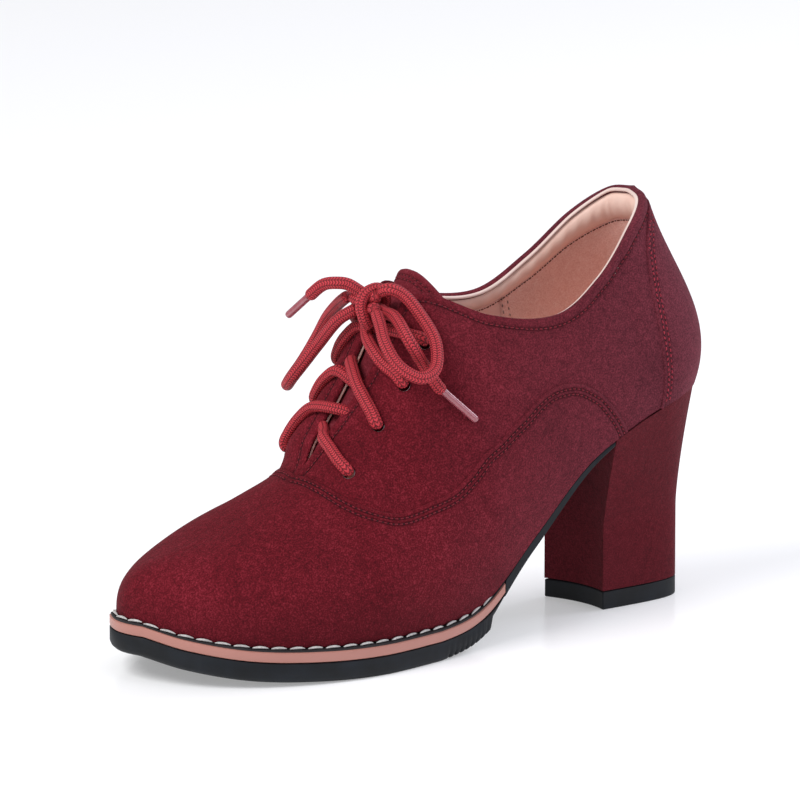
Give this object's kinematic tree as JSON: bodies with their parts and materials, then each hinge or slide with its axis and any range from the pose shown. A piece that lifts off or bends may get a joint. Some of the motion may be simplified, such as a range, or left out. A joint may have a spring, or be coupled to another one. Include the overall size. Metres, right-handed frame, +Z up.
{
  "type": "lace-up heeled shoe",
  "caption": "Left lace-up ankle-cut shoe in dark red faux suede with a block heel, a tan runner over a black sole and a braided lace tied in a bow.",
  "frame": {"origin": "under the middle of the shoe without its bow, on the floor", "axes": "+X towards the toe, +Y towards the outer side of the foot (the wearer's left), +Z up"},
  "size_m": [0.2364, 0.0812, 0.148],
  "materials": {
    "suede": "short nap, matt",
    "heel_suede": "short nap, matt",
    "rubber": "satin black",
    "runner": "smooth tan",
    "lining": "smooth pink-tan",
    "tongue": "short nap, matt",
    "eyelet_metal": "small rolled rim",
    "lace": "round braid",
    "aglet": "clear sleeve over the lace"
  },
  "bodies": {
    "root": {"upper": "suede", "heel_block": "heel_suede", "outsole": "rubber", "heel_top_piece": "rubber", "welt": "runner", "insole": "lining", "tongue": "tongue", "eyelet_lateral_1": "eyelet_metal", "eyelet_medial_1": "eyelet_metal", "eyelet_lateral_2": "eyelet_metal", "eyelet_medial_2": "eyelet_metal", "eyelet_lateral_3": "eyelet_metal", "eyelet_medial_3": "eyelet_metal", "eyelet_lateral_4": "eyelet_metal", "eyelet_medial_4": "eyelet_metal", "lace_crossing_1": "lace", "lace_crossing_2": "lace", "lace_crossing_3": "lace", "lace_bar": "lace", "lace_knot": "lace", "lace_loop_right": "lace", "lace_end_right": "lace", "lace_loop_left": "lace", "lace_end_left": "lace", "aglet_right": "aglet", "aglet_left": "aglet"}
  },
  "joints": []
}
